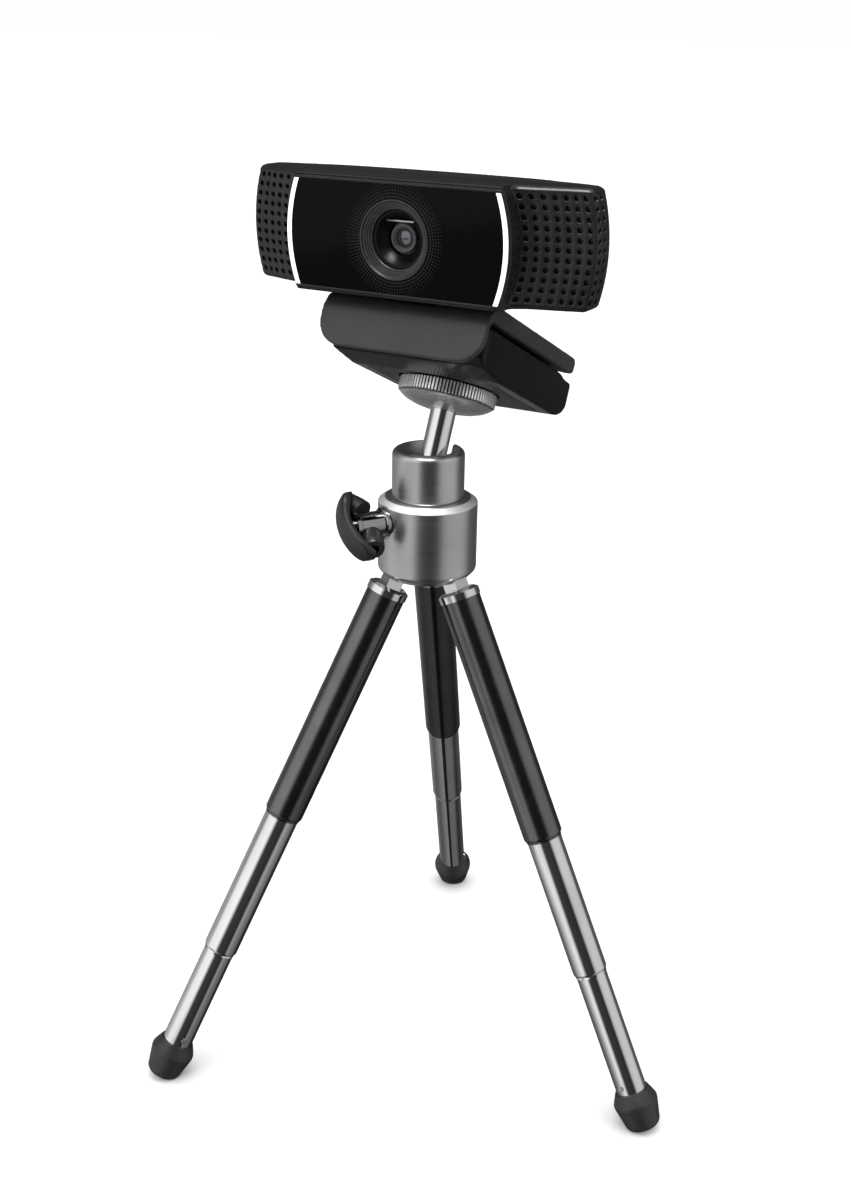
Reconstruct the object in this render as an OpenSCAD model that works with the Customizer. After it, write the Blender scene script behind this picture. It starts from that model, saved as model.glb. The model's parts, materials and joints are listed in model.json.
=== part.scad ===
// Webcam on a pocket tripod: three telescopic legs, a hub with a locking ball head,
// and a wide webcam whose folding clip is screwed on the platform.
// Frame: +Z up, ground at z = 0, the webcam looks towards -Y, +X to the right.

/* [Stance] */
// Height of the leg pivots above the ground
pivot_z = 144.5; // [140:0.5:150]
// Distance of each leg pivot from the hub axis
pivot_r = 7.2; // [7:0.1:7.6]
// Angle of a spread leg from the vertical
splay = 26; // [24:0.5:27]
// Length of each leg from its pivot to the rim of its rubber foot
leg_reach = 151.1; // [148:0.5:152]
// How far each middle tube is pulled out: left, right, back
mid_out = [43, 38.8, 33.7]; // [3:1:44]

/* [Leg tubes] */
// Outer radius of the black upper tube
upper_r = 5.25; // [5.2:0.05:5.5]
// Outer radius of the middle tube
mid_r = 4.65; // [4.6:0.01:4.66]
// Outer radius of the lower tube
low_r = 4.15; // [4.1:0.01:4.16]
// Length of the black upper tube
upper_len = 67.5; // [66:0.5:69]
// Length of the middle tube
mid_len = 60; // [58:0.5:62]
// Length of the lower tube, down to its end inside the foot
low_len = 58; // [56:0.5:59]
// Radius of the rubber foot at its widest
foot_r = 6; // [5.8:0.05:6.1]

/* [Hub and ball head] */
// Radius of the hub
hub_r = 13; // [12.5:0.1:13.5]
// Radius of the cap that holds the ball
cap_r = 9.4; // [9.2:0.1:9.8]
// Height of the ball's centre above the ground
ball_z = 166.4; // [166:0.1:167]
// Radius of the ball
ball_r = 6.2; // [6:0.05:6.25]
// Lean of the ball's stem from the vertical
stem_tilt = 24.5; // [0:0.5:25]
// Turn of the webcam away from -Y, seen from above
yaw = -29.5; // [-45:0.5:0]
// Distance from the ball's centre to the top of the platform
platform_h = 24.3; // [24:0.1:26]
// Radius of the knurled platform
platform_r = 12.85; // [12:0.05:13]
// Angle of the lock knob's screw round the hub
knob_az = 210; // [200:1:220]

/* [Webcam] */
// Half of the webcam's width at mid height
cam_half_w = 47.8; // [47:0.1:48]
// Half of the webcam's height
cam_half_h = 14.1; // [14:0.1:14.5]
// Nod of the webcam against the clip, which levels it
nod = 24.5; // [20:0.5:25]
// Radius of the ring round the lens
ring_r = 9.4; // [9:0.1:9.6]
// Half of the width of the clip's lip
lip_half_w = 23; // [22.5:0.1:23.5]

/* [Hidden] */
$fn = 64;
SIDES = ["left", "right", "back"];
PER_LEG = ["leg_lug", "upper_tube", "mid_tube", "mid_bush", "low_tube", "low_bush", "foot", "foot_rivet"];

e = 0.01;            // overlap that lets a cut run past a face
fit = 0.05;          // running fit between a pin or tube and its bore
gap = 0.4;           // clearance between pieces that pass each other
// the hub axis, placed so that the whole object's box is centred on the origin
hub_at = [5.3, -14.26];
leg_az = [202, 322, 82];

// ---- heights on the hub ----
hub_z0 = pivot_z - 2.9;
hub_z1 = 161.7;
cap_z1 = 174.4;
cap_z0 = 159.7;
stem_r = 3.35;
stem_end = 17.9;
lean_max = 52;       // how far the stem may lean over the cap's notch
knob_z = 156.4;
plunger_z0 = 151.4;
seat_z0 = 158.8;
lug_w = 5;
slot_w = lug_w + 2*gap;

// ---- leg stations, measured along the leg from its pivot ----
tube_t0 = 9.6;
tube_t1 = tube_t0 + upper_len;
upper_wall = 0.4;
tube_wall = 0.3;
swage = 2.4;
rivet_t = leg_reach - 3.6;

// ---- clip, in the platform's frame: y to the webcam's back, z along the stem ----
foot_w = 21.5;
foot_y = [-26.4, 28.2];
foot_z = [0.1, 11];
arm_w = 22.5;
arm_z = [12, 16.2];
bend_r = 7;
arm_y1 = 25.4;
lip_y = -31;
lip_t = 2.2;
lip_z0 = 1;
fold_at = [24, 11.5];    // y and z of the fold hinge
tilt_at = [-24.25, 13.9]; // y and z of the tilt hinge
knuckle_w = 14;
// the tilt hinge seen from the webcam, and the webcam's own parts
cam_hinge = [10.4, -cam_half_h - 3.2];
cam_shift = 1;           // the webcam's middle stands this far to the left of its hinge's
panel_side = 27.9;
panel_bow = 2.9;
frame_d = 5.4;
wing_h = 14;
board_x = 20;
mic_x = 37;

// ---- placing ----
module at_hub() translate([hub_at[0], hub_at[1], 0]) children();
module at_leg(i) at_hub() rotate([0, 0, leg_az[i]]) translate([pivot_r, 0, pivot_z])
    rotate([0, 180 - splay, 0]) children();
module at_ball() at_hub() translate([0, 0, ball_z]) rotate([0, 0, yaw]) rotate([-stem_tilt, 0, 0]) children();
module at_clip() at_ball() translate([0, 0, platform_h]) children();
module at_cam() at_clip() translate([0, tilt_at[0], tilt_at[1]]) rotate([nod, 0, 0])
    translate([-cam_shift, -cam_hinge[0], -cam_hinge[1]]) children();
module at_knob() at_hub() translate([0, 0, knob_z]) rotate([0, 0, knob_az]) rotate([0, 90, 0]) children();

// ---- shared shapes ----
function arc(cx, cy, r, a0, a1, n) = [for (k = [0:n])
    let (a = a0 + (a1 - a0)*k/n) [cx + r*cos(a), cy + r*sin(a)]];
module tube(r, wall, t0, t1) translate([0, 0, t0]) difference() {
    cylinder(r = r, h = t1 - t0);
    translate([0, 0, -e]) cylinder(r = r - wall, h = t1 - t0 + 2*e);
}
// a tube whose far end is drawn in to run on the next tube
module swaged_tube(r, wall, t0, t1, inner_r) rotate_extrude() polygon(concat(
    [[r - wall, t0], [r, t0], [r, t1 - swage]],
    arc(r - 0.9, t1 - 1.3, 0.9, 0, 60, 4),
    [[inner_r + fit + 0.12, t1], [inner_r + fit, t1]],
    [[inner_r + fit, t1 - swage], [r - wall, t1 - swage - 1]]));
module x_rod(r, half) rotate([0, 90, 0]) cylinder(r = r, h = 2*half, center = true);
module y_rod(r, y0, y1) translate([0, y1, 0]) rotate([90, 0, 0]) cylinder(r = r, h = y1 - y0);
module rounded_rect(w, h, r) offset(r) square([w - 2*r, h - 2*r], center = true);

// ---- legs ----
module leg_lug(i) color("silver") at_leg(i) difference() {
    union() {
        rotate_extrude() polygon([[0, 6.9], [4.4, 7.1], [5.5, 7.8], [5.5, tube_t0], [4.8, tube_t0],
            [4.8, 14], [0, 14]]);
        translate([-2.1, -lug_w/2, 0]) cube([4.2, lug_w, 7.5]);
        y_rod(2.1, -lug_w/2, lug_w/2);
    }
    y_rod(1 + fit, -lug_w, lug_w);
}
module upper_tube(i) color("#151515") at_leg(i) swaged_tube(upper_r, upper_wall, tube_t0, tube_t1, mid_r);
module mid_tube(i) color("gainsboro") at_leg(i) let (t1 = tube_t1 + mid_out[i])
    swaged_tube(mid_r, tube_wall, t1 - mid_len, t1, low_r);
module mid_bush(i) color("goldenrod") at_leg(i) let (t0 = tube_t1 + mid_out[i] - mid_len)
    tube(upper_r - upper_wall - fit, upper_r - upper_wall - fit - mid_r, t0, t0 + 8);
module low_tube(i) color("gainsboro") at_leg(i) difference() {
    tube(low_r, tube_wall, leg_reach + 4 - low_len, leg_reach + 4);
    translate([0, 0, rivet_t]) y_rod(0.5, -low_r - 1, low_r + 1);
}
module low_bush(i) color("goldenrod") at_leg(i) let (t0 = leg_reach + 4 - low_len)
    tube(mid_r - tube_wall - fit, mid_r - tube_wall - fit - low_r, t0, t0 + 7);
module foot(i) color("#1c1c1c") difference() {
    at_leg(i) translate([0, 0, leg_reach]) difference() {
        rotate_extrude() polygon(concat([[0, -1.4], [low_r + 0.5, -1.4], [foot_r - 0.5, 0.4], [foot_r, 1.6]],
            [[foot_r, 2.4]], arc(foot_r - 3.2, 7.3, 2.1, 20, 90, 6), [[0, 9.4]]));
        translate([0, 0, -2]) cylinder(r = low_r, h = 6);
    }
    translate([-200, -200, -20]) cube([400, 400, 20]);
}
module foot_rivet(i) color("silver") at_leg(i) translate([0, 0, rivet_t]) {
    y_rod(0.5, -low_r - 0.1, low_r + 0.1);
    y_rod(0.8, low_r, low_r + 0.25);
    y_rod(0.8, -low_r - 0.25, -low_r);
}

// ---- hub and ball head ----
module hub_housing() color("#a8a8a8") difference() {
    at_hub() rotate_extrude($fn = 96) polygon(concat([[0, hub_z0], [hub_r - 1.5, hub_z0]],
        arc(hub_r - 1.5, hub_z0 + 1.5, 1.5, -90, 0, 6),
        [[hub_r, hub_z1 - 1.4], [hub_r - 0.1, hub_z1 - 1.15]],
        [[hub_r - 1.65, hub_z1 - 0.1], [hub_r - 1.9, hub_z1], [0, hub_z1]]));
    at_hub() translate([0, 0, plunger_z0 - 0.5]) cylinder(r = 7, h = 20);
    at_hub() translate([0, 0, seat_z0]) cylinder(r = 8.6, h = 10);
    at_hub() translate([0, 0, hub_z0 - 1]) cylinder(r = 1.25, h = 7);
    at_knob() cylinder(r = 1.95 + fit, h = 20);
    // the flat round seat of the knob's washer
    at_knob() translate([0, 0, hub_r - 0.35]) cylinder(r = 4.5, h = 5);
    lug_slots(hub_z0 - e, pivot_z + 2.8, 11.5);
    for (az = leg_az) at_hub() rotate([0, 0, az]) translate([pivot_r, 0, pivot_z]) y_rod(1, -4.8, 4.8);
}
module lug_slots(z0, z1, r1) for (az = leg_az) at_hub() rotate([0, 0, az])
    translate([pivot_r - 2.6, -slot_w/2, z0]) cube([r1 - pivot_r + 2.6, slot_w, z1 - z0]);
// the cap turns with the ball, so its notch always faces the way the stem may lean further
module hub_cap() color("#b4b4b4") at_hub() difference() {
    rotate_extrude($fn = 96) polygon(concat(
        [[0, cap_z0], [8.6 - fit, cap_z0], [8.6 - fit, hub_z1 + 0.1]],
        [[cap_r - 0.15, hub_z1 + 0.1], [cap_r, hub_z1 + 0.4]],
        arc(cap_r - 1.6, cap_z1 - 1.6, 1.6, 0, 90, 8), [[0, cap_z1]]));
    translate([0, 0, seat_z0 - 1]) cylinder(r = 7, h = 4.8);
    translate([0, 0, seat_z0]) cylinder(r = ball_r + 0.1, h = ball_z - seat_z0);
    translate([0, 0, ball_z]) sphere(r = ball_r + 0.1);
    translate([0, 0, ball_z + 3.4]) cylinder(r = 5.2, h = 3);
    translate([0, 0, ball_z + 3.4]) cylinder(r1 = 5.2, r2 = 7.2, h = cap_z1 - ball_z - 3.4 + e);
    // the notch, sunk along the stem's steepest lean
    rotate([0, 0, 90 + yaw]) translate([0, 0, ball_z]) hull() for (lean = [20, lean_max])
        rotate([0, lean, 0]) cylinder(r = 3.75, h = 20);
}
module ball_seat() color("ivory") at_hub() translate([0, 0, seat_z0]) difference() {
    cylinder(r = 6.9, h = 3.6);
    translate([0, 0, ball_z - seat_z0]) sphere(r = ball_r + 0.08);
    translate([0, 0, -e]) cylinder(r = 2.4, h = 3);
}
module clamp_plunger() color("goldenrod") difference() {
    at_hub() translate([0, 0, plunger_z0]) cylinder(r = 6.9, h = seat_z0 - 0.2 - plunger_z0);
    at_knob() translate([0, 0, 3.6]) cylinder(r = 2.6, h = 10);
    at_hub() translate([0, 0, plunger_z0 - e]) cylinder(r = 1.5, h = 3);
}
module base_plate() color("#9a9a9a") difference() {
    at_hub() translate([0, 0, hub_z0 - 0.9]) cylinder(r1 = 11.3, r2 = 11.6, h = 0.9);
    lug_slots(hub_z0 - 2, hub_z0 + 1, 13);
    at_hub() translate([0, 0, hub_z0 - 1]) cylinder(r = 1.25, h = 2);
}
module base_screw() color("silver") at_hub() difference() {
    union() {
        translate([0, 0, hub_z0 - 1.9]) cylinder(r1 = 2.1, r2 = 2.5, h = 1);
        translate([0, 0, hub_z0 - 1]) cylinder(r = 1.25, h = 6);
    }
    for (a = [0, 90]) rotate([0, 0, a]) translate([-1.3, -0.25, hub_z0 - 2]) cube([2.6, 0.5, 0.6]);
}
module leg_pins() color("silver") for (az = leg_az)
    at_hub() rotate([0, 0, az]) translate([pivot_r, 0, pivot_z]) y_rod(1, -4.7, 4.7);

// ---- lock knob: a bowed bar whose two lobes stand on either side of its screw ----
wing_turn = 132;
ring_z = [20.6, 21.9];
lobe_at = [7.1, 18.4];
lobe_lean = 33;
// across the end of a lobe: away along its flat end, and along its own axis
module lobe_end(across, r, deep, h) translate([0, lobe_at[0], lobe_at[1]]) rotate([-90 - lobe_lean, 0, 0])
    translate([0, across, -deep]) cylinder(r = r, h = h, $fn = 40);
module wing_lobe() difference() {
    hull() {
        translate([0, 0, 22]) cylinder(r = 3, h = 3, $fn = 40);
        translate([0, 5, 21.4]) rotate([0, 90, 0]) cylinder(r = 2.7, h = 3.6, center = true, $fn = 40);
        lobe_end(0, 2.3, 0.4, 0.4);
        lobe_end(0, 2.7, 1.2, 0.8);
        lobe_end(-3.3, 1.9, 0.5, 0.5);
        lobe_end(-3.3, 2.5, 2, 1.2);
    }
    lobe_end(0, 1.1, 1.5, 3);
}
module lock_knob() color("#1a1a1a") difference() {
    at_knob() rotate([0, 0, 90 - wing_turn]) {
        wing_lobe();
        mirror([0, 1, 0]) wing_lobe();
    }
    at_knob() cylinder(r = 4.3, h = ring_z[1]);
    at_knob() cylinder(r = 1.95, h = 23.6);
}
module knob_screw() color("silver") at_knob() rotate_extrude() polygon([[0, 4.4], [1.2, 5.6], [1.95, 6.4],
    [1.95, hub_r - 0.25], [3.9, hub_r - 0.25], [3.9, hub_r + 0.6], [3.6, hub_r + 0.9], [3.2, hub_r + 0.9],
    [3.2, ring_z[0]], [3.5, ring_z[0]], [3.75, ring_z[0] + 0.25], [3.75, ring_z[1]], [1.95, ring_z[1]],
    [1.95, 23.6], [0, 23.6]]);

module ball_stem() color("gainsboro") at_ball() union() {
    sphere(r = ball_r);
    cylinder(r = stem_r, h = stem_end);
}
ridges = 90;
rim_h = 3.5;
module platform_disc() color("#d8d8d8") at_clip() difference() {
    union() {
        translate([0, 0, -rim_h]) linear_extrude(rim_h) polygon([for (k = [0:2*ridges - 1])
            let (a = 180*k/ridges, r = platform_r - (k % 2)*0.42) [r*cos(a), r*sin(a)]]);
        // the bowl under the rim
        translate([0, 0, -rim_h]) rotate_extrude() polygon([[0, 0.1], [platform_r - 0.45, 0.1],
            [platform_r - 0.45, 0], [platform_r - 1.1, -0.75], [platform_r - 2.6, -1.6],
            [platform_r - 4.8, -2.35], [platform_r - 7.2, -2.8], [4.2, -2.9], [0, -2.9]]);
    }
    translate([0, 0, -10]) cylinder(r = 2.2, h = 11);
}
module platform_stud() color("silver") at_clip() union() {
    translate([0, 0, stem_end - platform_h]) cylinder(r = 2.2, h = platform_h - stem_end);
    cylinder(r = 3.175, h = 4.8);
    translate([0, 0, 4.8]) cylinder(r1 = 3.175, r2 = 2.6, h = 0.5);
}

// ---- clip ----
// side outline of the folded foot, y across and z up
module foot_side() polygon(concat(
    [[foot_y[0], 3.4], [foot_y[0] + 1.6, foot_z[0] + 1.4], [-14.5, foot_z[0]]],
    arc(foot_y[1] - 7.2, foot_z[0] + 7.2, 7.2, -90, 0, 9),
    arc(foot_y[1] - 2.6, 7.5, 2.6, 0, 70, 5),
    [[22.4, 10.2], [19.6, foot_z[1]], [foot_y[0] + 1.2, foot_z[1]], [foot_y[0], foot_z[1] - 1.2]]));
module clip_foot() color("#202020") at_clip() {
    foot_body();
    fold_barrel();
}
module foot_body() difference() {
    intersection() {
        translate([-foot_w, 0, 0]) rotate([90, 0, 90]) linear_extrude(2*foot_w) foot_side();
        translate([0, (foot_y[0] + foot_y[1])/2, 0]) linear_extrude(20)
            rounded_rect(2*foot_w, foot_y[1] - foot_y[0], 1.8);
    }
    union() {
        translate([0, 0, -1]) cylinder(r = 5, h = 8.1);
        // the pad's recess in the face that grips a screen's back
        translate([-17, -13.5, -1]) difference() {
            cube([34, 32, 1.9]);
            translate([17, 13.5, -1]) cylinder(r = 8.4, h = 5);
        }
        for (s = [-1, 1]) translate([s*10.45, fold_at[0], fold_at[1]]) x_rod(3 + gap, 3.45);
        translate([-knuckle_w/2, fold_at[0] - 4.4, 14]) cube([knuckle_w, 20, 5]);
        translate([0, fold_at[0], fold_at[1]]) x_rod(1, 13.4);
        // hollow inside, open at the top between the ribs
        for (s = [-1, 1]) translate([s*11.6 - 7.4, -23.6, 2.6]) cube([14.8, 37, 20]);
        translate([-3.6, 8, 2.6]) cube([7.2, 8, 20]);
        // room for the webcam's knuckle
        translate([-knuckle_w/2 - gap, foot_y[0] - 2, 9.6]) cube([knuckle_w + 2*gap, 8, 5]);
    }
}
module fold_barrel() difference() {
    union() {
        translate([0, fold_at[0], fold_at[1]]) x_rod(3, knuckle_w/2);
        translate([-knuckle_w/2, fold_at[0] - 3, 8]) cube([knuckle_w, 5.6, 3.5]);
    }
    translate([0, fold_at[0], fold_at[1]]) x_rod(1, 20);
}
module foot_pad() color("#141414") at_clip() difference() {
    translate([-17, -13.5, 0.1]) cube([34, 32, 0.8]);
    translate([0, 0, -1]) cylinder(r = 13.4, h = 5);
}
module thread_insert() color("goldenrod") at_clip() difference() {
    translate([0, 0, 0.1]) cylinder(r = 5, h = 7);
    translate([0, 0, -1]) cylinder(r = 3.175 + 0.08, h = 7);
}
module clip_pin() color("silver") at_clip() translate([0, fold_at[0], fold_at[1]]) x_rod(1, 13.4);
// side outline of the arm and its bend into the lip
module arm_side() polygon(concat(
    [[lip_y, lip_z0]],
    arc(lip_y + bend_r, arm_z[1] - bend_r, bend_r, 180, 90, 8),
    arc(arm_y1 - 2.2, (arm_z[0] + arm_z[1])/2, 2.2, 90, -90, 10),
    arc(lip_y + lip_t + 2.4, arm_z[0] - 2.4, 2.4, 90, 180, 6),
    [[lip_y + lip_t, lip_z0]]));
module clip_arm() color("#232323") at_clip() difference() {
    union() {
        intersection() {
            translate([-lip_half_w, 0, 0]) rotate([90, 0, 90]) linear_extrude(2*lip_half_w) arm_side();
            union() {
                translate([0, -2, 0]) linear_extrude(20) rounded_rect(2*arm_w, 56, 1.8);
                translate([-lip_half_w, lip_y - 1, 0]) cube([2*lip_half_w, 4, 20]);
            }
            // rounded lower corners of the lip, straight sides above
            translate([0, 100, 0]) rotate([90, 0, 0]) linear_extrude(200)
                translate([0, lip_z0 + 20]) rounded_rect(2*lip_half_w, 40, 6.5);
        }
        for (s = [-1, 1]) translate([s*10.45, fold_at[0], fold_at[1]]) {
            x_rod(3, 3.05);
            translate([-3.05, -3, 0]) cube([6.1, 3.6, 4]);
        }
    }
    translate([-knuckle_w/2 - gap, fold_at[0] - 3.5, 5]) cube([knuckle_w + 2*gap, 20, 20]);
    translate([-knuckle_w/2 - gap, lip_y + lip_t, 5]) cube([knuckle_w + 2*gap, 8.4, 20]);
    translate([0, fold_at[0], fold_at[1]]) x_rod(1 + fit, 20);
    translate([0, tilt_at[0], tilt_at[1]]) x_rod(1, 15);
}
module lip_pad() color("#141414") at_clip() translate([0, lip_y + lip_t + 0.8, 5.2]) rotate([90, 0, 0])
    linear_extrude(0.8) rounded_rect(36, 6.6, 1.5);
module tilt_pin() color("silver") at_clip() translate([0, tilt_at[0], tilt_at[1]]) x_rod(1, 15);

// ---- webcam, in its own frame: origin at the middle of the panel's face ----
module tilt_bracket() color("#1c1c1c") at_cam() translate([cam_shift, 0, 0]) difference() {
    union() {
        translate([0, cam_hinge[0], cam_hinge[1]]) x_rod(2.6, knuckle_w/2);
        translate([-knuckle_w/2, cam_hinge[0] - 1.9, cam_hinge[1]]) cube([knuckle_w, 3.8, 5]);
        translate([-12, 6.2, -cam_half_h + 1.6]) cube([24, 8.4, 1.4]);
    }
    translate([0, cam_hinge[0], cam_hinge[1]]) x_rod(1 + fit, 20);
}
// front outline of the middle part, with sides that bow outwards
function bow(z, inset) = panel_side + panel_bow*(1 - pow(z/cam_half_h, 2)) - inset;
module bowed(inset, top) {
    h = cam_half_h - top;
    polygon(concat([for (k = [0:12]) let (z = -h + 2*h*k/12) [bow(z, inset), z]],
        [for (k = [12:-1:0]) let (z = -h + 2*h*k/12) [-bow(z, inset), z]]));
}
module slab(y0, y1) translate([0, y1, 0]) rotate([90, 0, 0]) linear_extrude(y1 - y0) children();
module front_bezel() color("#1e1e1e") at_cam() difference() {
    union() {
        slab(0.8, frame_d) bowed(0, 0);
        slab(0, 0.8) bowed(0.5, 0.7);
    }
    slab(-1, 2.2) bowed(0.6, 1.5);
    slab(1, frame_d - 1.4) bowed(2.4, 2.6);
    slab(3, 20) rounded_rect(32, 22, 2);
    for (s = [-1, 1]) translate([s*board_x, 0, 7.4]) y_rod(1.2, 1, 20);
}
strip_w = 1.2;
module front_panel() color("#060606") at_cam() difference() {
    slab(0.1, 2.2) intersection() {
        bowed(0.6 + strip_w, 0);
        square([80, 2*cam_half_h - 3], center = true);
    }
    y_rod(ring_r, -1, 5);
}
module light_strips() color("white") at_cam() difference() {
    slab(0, 2.2) bowed(0.6, 1.5);
    slab(-1, 3) bowed(0.6 + strip_w, 0);
}
// plan curve of a wing's hollow front, from beside the panel to the tip
function wing_x(u) = 28.4 + (cam_half_w - 28.4)*u;
function wing_y(u) = 4.2 + 6.3*pow(u, 0.62);
// the wing's end bows out at mid height
function tip_cut(z) = 2.2*pow(z/wing_h, 2);
module wing_front(t0, t1) polygon(concat(
    [for (k = [0:12]) [wing_x(k/12), wing_y(k/12) + t0]],
    [for (k = [12:-1:0]) [wing_x(k/12), wing_y(k/12) + t1]]));
module end_shape(inset) slab(-5, 60) polygon(concat(
    [for (k = [0:10]) let (z = -wing_h + 2*wing_h*k/10) [cam_half_w - inset - tip_cut(z), z]],
    [for (k = [10:-1:0]) let (z = -wing_h + 2*wing_h*k/10) [-cam_half_w + inset + tip_cut(z), z]]));
hole_cols = 9;
hole_rows = 11;
module grille() difference() {
    intersection() {
        translate([0, 0, -wing_h + 1]) linear_extrude(2*wing_h - 2) wing_front(0, 1.2);
        end_shape(1.4);
    }
    slab(-5, frame_d) bowed(-0.02, -2);
    for (c = [0:hole_cols - 1], r = [0:hole_rows - 1])
        let (z = (r - (hole_rows - 1)/2)*2.4, u = (c + 0.75)/(hole_cols + 0.6))
        translate([wing_x(u) - tip_cut(z)*u*0.8, wing_y(u), z]) y_rod(0.62, -2, 2, $fn = 8);
}
module mic_grille_left() color("#2a2a2a") at_cam() mirror([1, 0, 0]) grille();
module mic_grille_right() color("#2a2a2a") at_cam() grille();
// plan outline behind the wings and the middle part
module plan(inset) offset(delta = -inset) polygon(concat(
    [for (k = [0:12]) [wing_x(k/12), wing_y(k/12)]],
    [[cam_half_w - 0.1, 13], [cam_half_w - 0.3, 16.4], [cam_half_w - 0.9, 17.8], [cam_half_w - 2.2, 18.7]],
    [for (k = [10:-1:-10]) let (x = 43.4*k/10) [x, 23.2 - 4*pow(abs(k)/10, 2.4)]],
    [[-cam_half_w + 2.2, 18.7], [-cam_half_w + 0.9, 17.8]],
    [[-cam_half_w + 0.3, 16.4], [-cam_half_w + 0.1, 13]],
    [for (k = [12:-1:0]) [-wing_x(k/12), wing_y(k/12)]]));
module shell_form(inset, edge, half_h) intersection() {
    union() {
        translate([0, 0, -half_h + edge]) linear_extrude(2*(half_h - edge)) plan(inset);
        translate([0, 0, -half_h]) linear_extrude(2*half_h) plan(inset + edge);
    }
    union() {
        end_shape(inset);
        slab(-5, 60) square([66, 2*half_h], center = true);
    }
}
module rear_shell() color("#222222") at_cam() difference() {
    union() {
        shell_form(0, 0.9, cam_half_h);
        translate([0, 21.5, -7.5]) y_rod(4.2, 0, 2.4);
    }
    shell_form(1.6, 0.4, cam_half_h - 1.6);
    translate([-26, -5, -wing_h + 1.6]) cube([52, 12.4, 2*wing_h - 3.2]);
    // the wings' fronts take the two grilles, with a microphone behind each
    for (s = [0, 1]) mirror([s, 0, 0]) {
        intersection() {
            translate([0, 0, -wing_h + 1]) linear_extrude(2*wing_h - 2) wing_front(-2, 1.2);
            end_shape(1.4);
        }
        translate([mic_x, 0, 0]) y_rod(2, 5, 12);
    }
    slab(-5, frame_d) bowed(-0.02, -2);
    translate([0, 0, -7.5]) y_rod(3, 18, 30);
    // seat of the tilt bracket in the bottom
    translate([cam_shift - knuckle_w/2, cam_hinge[0] - 1.9, -cam_half_h - 1]) cube([knuckle_w, 3.8, 3]);
}
module lens_ring() color("#101010") at_cam() rotate([90, 0, 0]) rotate_extrude($fn = 96) polygon([
    [ring_r, -2.2], [ring_r, 0.15], [ring_r - 0.5, 0.3], [ring_r - 1, 0.1], [8.2, -0.4], [8.2, -0.9],
    [7.5, -1.1], [7.5, -1.6], [6.9, -1.9], [6.9, -3.4], [8.4, -3.4], [8.4, -2.2]]);
module lens_hood() color("#080808") at_cam() rotate([90, 0, 0]) difference() {
    rotate_extrude($fn = 96) polygon([[6.9, -3.4], [6.9, -2.4], [6.2, -2.4], [3.9, -5], [3.9, -6],
        [6.9, -6]]);
    translate([0, 0, -7]) cylinder(r = 3.9, h = 2);
}
module lens_barrel() color("#161616") at_cam() rotate([90, 0, 0]) rotate_extrude() polygon([
    [3.5, -4.9], [2.9, -4.7], [2.3, -5.4], [2.3, -6.2], [1.6, -6.2], [1.6, -12], [3.5, -12]]);
module lens_glass() color("#30384a") at_cam() rotate([90, 0, 0]) rotate_extrude() polygon(concat(
    [[0, -6.2], [2.3, -6.2]], [for (k = [6:-1:0]) let (r = 2.3*k/6) [r, -5.35 - 0.06*r*r]]));
module lens_holder() color("#303030") at_cam() difference() {
    translate([-8, 6.4, -8]) cube([16, 9.6, 16]);
    y_rod(3.6, 0, 12.8);
    translate([-5, 12.7, -5]) cube([10, 4, 10]);
}
module image_sensor() color("#27404a") at_cam() translate([-4, 15, -3.4]) cube([8, 1, 6.8]);
module circuit_board() color("darkgreen") at_cam() difference() {
    translate([-24, 16, -10]) cube([48, 1.4, 20]);
    for (s = [-1, 1]) translate([s*board_x, 0, 7.4]) y_rod(1.2, 10, 20);
}
module microphones() color("silver") at_cam() for (s = [-1, 1]) translate([s*mic_x, 9.9, 0]) y_rod(2, 0, 2.4);
module cable_gland() color("#181818") at_cam() translate([0, 0, -7.5]) difference() {
    union() {
        y_rod(3, 20.4, 24.9);
        y_rod(3.8, 19.4, 20.4);
    }
    y_rod(1.7, 19, 26);
}
module shell_screws() color("silver") at_cam() for (s = [-1, 1]) translate([s*board_x, 0, 7.4]) difference() {
    union() {
        y_rod(1.2, frame_d - 1.4, 17.4);
        y_rod(2.1, 17.4, 18.6);
    }
    for (a = [0, 90]) rotate([0, a, 0]) translate([-1.2, 18.1, -0.25]) cube([2.4, 1, 0.5]);
}
hub_housing();
hub_cap();
ball_seat();
clamp_plunger();
base_plate();
base_screw();
leg_pins();
lock_knob();
knob_screw();
ball_stem();
platform_disc();
platform_stud();
clip_foot();
foot_pad();
thread_insert();
clip_pin();
clip_arm();
lip_pad();
tilt_pin();
tilt_bracket();
front_bezel();
front_panel();
light_strips();
mic_grille_left();
mic_grille_right();
rear_shell();
lens_ring();
lens_hood();
lens_barrel();
lens_glass();
lens_holder();
image_sensor();
circuit_board();
microphones();
cable_gland();
shell_screws();
for (i = [0:2]) {
    leg_lug(i);
    upper_tube(i);
    mid_tube(i);
    mid_bush(i);
    low_tube(i);
    low_bush(i);
    foot(i);
    foot_rivet(i);
}
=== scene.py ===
import json
import math
import bpy
import bmesh
from mathutils import Matrix, Vector


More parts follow.
